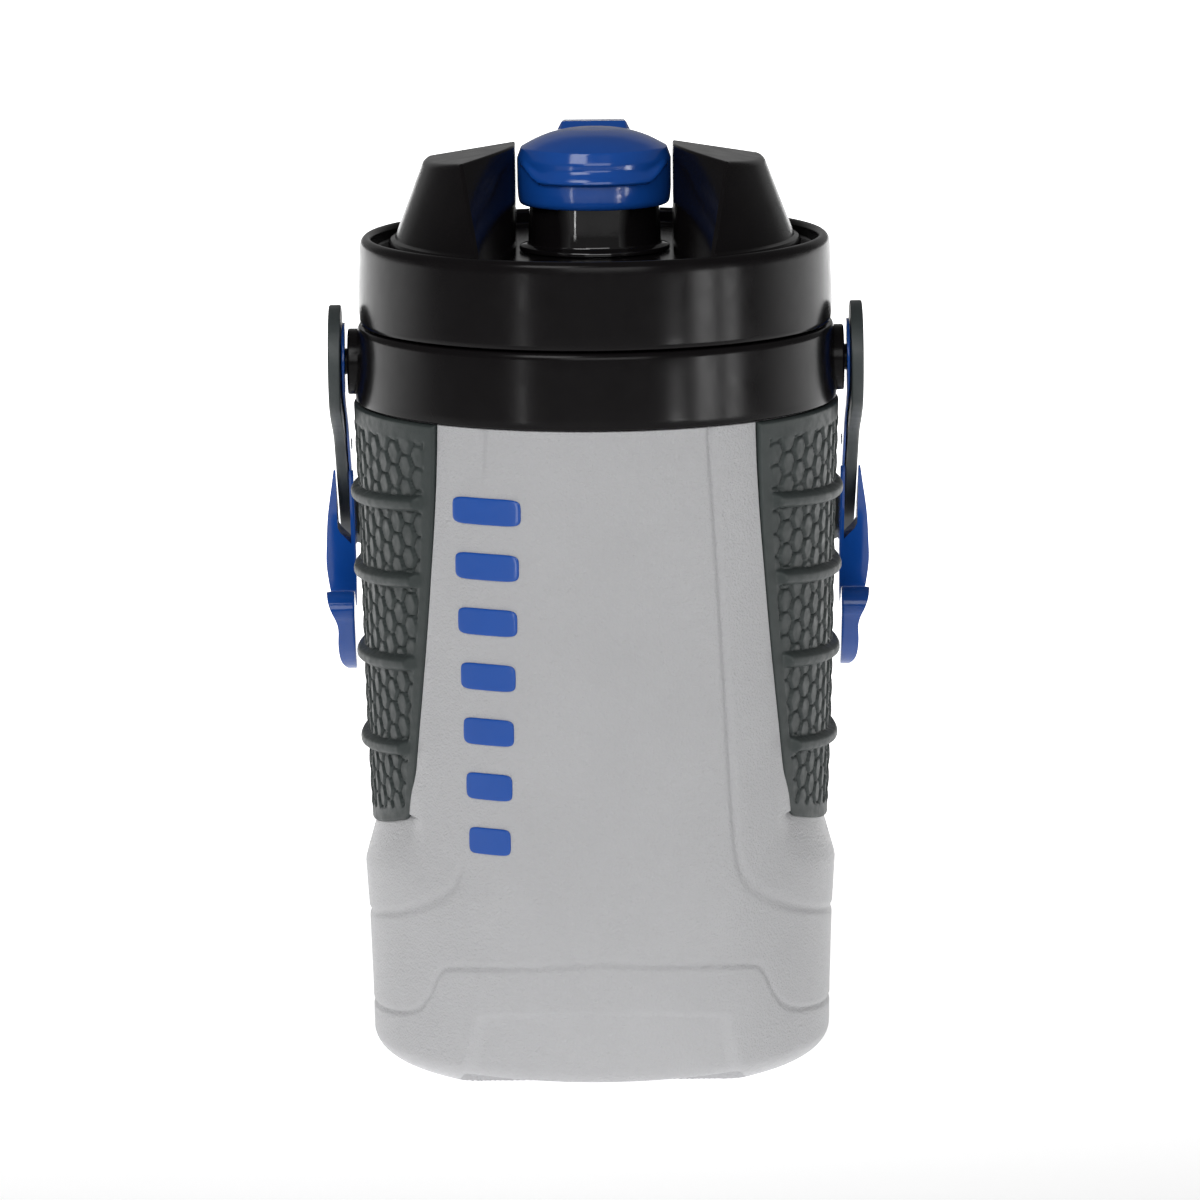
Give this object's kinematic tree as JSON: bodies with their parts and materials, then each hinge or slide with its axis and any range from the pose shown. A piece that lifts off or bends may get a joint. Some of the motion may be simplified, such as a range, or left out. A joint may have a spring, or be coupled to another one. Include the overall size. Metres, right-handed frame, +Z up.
{
  "type": "large water jug",
  "caption": "Insulated half-gallon water jug with a screw lid, flip-top drinking spout, rubber side grips and a swinging bail handle with fence hooks.",
  "frame": {"origin": "centre of the flat underside, on the axis of the body", "axes": "+Z up along the axis of the body, -Y to the front with the drinking side, +X to the right seen from the front"},
  "size_m": [0.1732, 0.1626, 0.2895],
  "materials": {
    "shell_grey": "light grey moulded polyethylene, fine pebbled grain",
    "liner_white": "smooth white polypropylene",
    "foam_cream": "rigid polyurethane foam",
    "grip_rubber": "dark grey-green rubber with a low-relief scale pattern",
    "black_gloss": "black high-gloss moulded plastic",
    "handle_grey": "dark grey satin moulded plastic",
    "blue_gloss": "royal blue high-gloss moulded plastic",
    "silicone": "translucent white silicone",
    "steel_pin": "bright drawn steel"
  },
  "bodies": {
    "jug": {"outer_shell": "shell_grey", "inner_liner": "liner_white", "foam_insulation": "foam_cream", "foam_fill_plug": "shell_grey", "grip_left": "grip_rubber", "grip_right": "grip_rubber", "collar_ring": "black_gloss", "collar_seal": "silicone", "pivot_pin_left": "black_gloss", "pivot_pin_right": "black_gloss"},
    "lid_seal": {"lid_gasket": "silicone"},
    "lid": {"lid_shell": "black_gloss", "lid_inner_plate": "liner_white", "lid_foam": "foam_cream", "spout_tube": "black_gloss", "spout_gasket": "silicone", "cap_hinge_pin": "steel_pin"},
    "cap": {"flip_cap": "blue_gloss", "cap_seal": "silicone"},
    "handle": {"bail_handle": "handle_grey", "hook_left": "blue_gloss", "hook_right": "blue_gloss", "hook_rivet_left": "steel_pin", "hook_rivet_right": "steel_pin"}
  },
  "joints": [
    {"name": "lid_lift", "type": "slide", "parent": "jug", "child": "lid_seal", "axis": [0, 0, 1], "range_m": [0, 0.0121]},
    {"name": "lid_turn", "type": "hinge", "parent": "lid_seal", "child": "lid", "pos_m": [0, 0, 0.25], "axis": [0, 0, 1], "range_deg": [0, 360]},
    {"name": "cap_flip", "type": "hinge", "parent": "lid", "child": "cap", "pos_m": [0, 0.033, 0.274], "axis": [-1, 0, 0], "range_deg": [0, 125]},
    {"name": "bail_swing", "type": "hinge", "parent": "jug", "child": "handle", "pos_m": [0, 0, 0.2174], "axis": [1, 0, 0], "range_deg": [0, 256]}
  ],
  "couplings": [
    {"joint": "lid_lift", "follows": "lid_turn", "m_per_rad": 0.0019099}
  ]
}
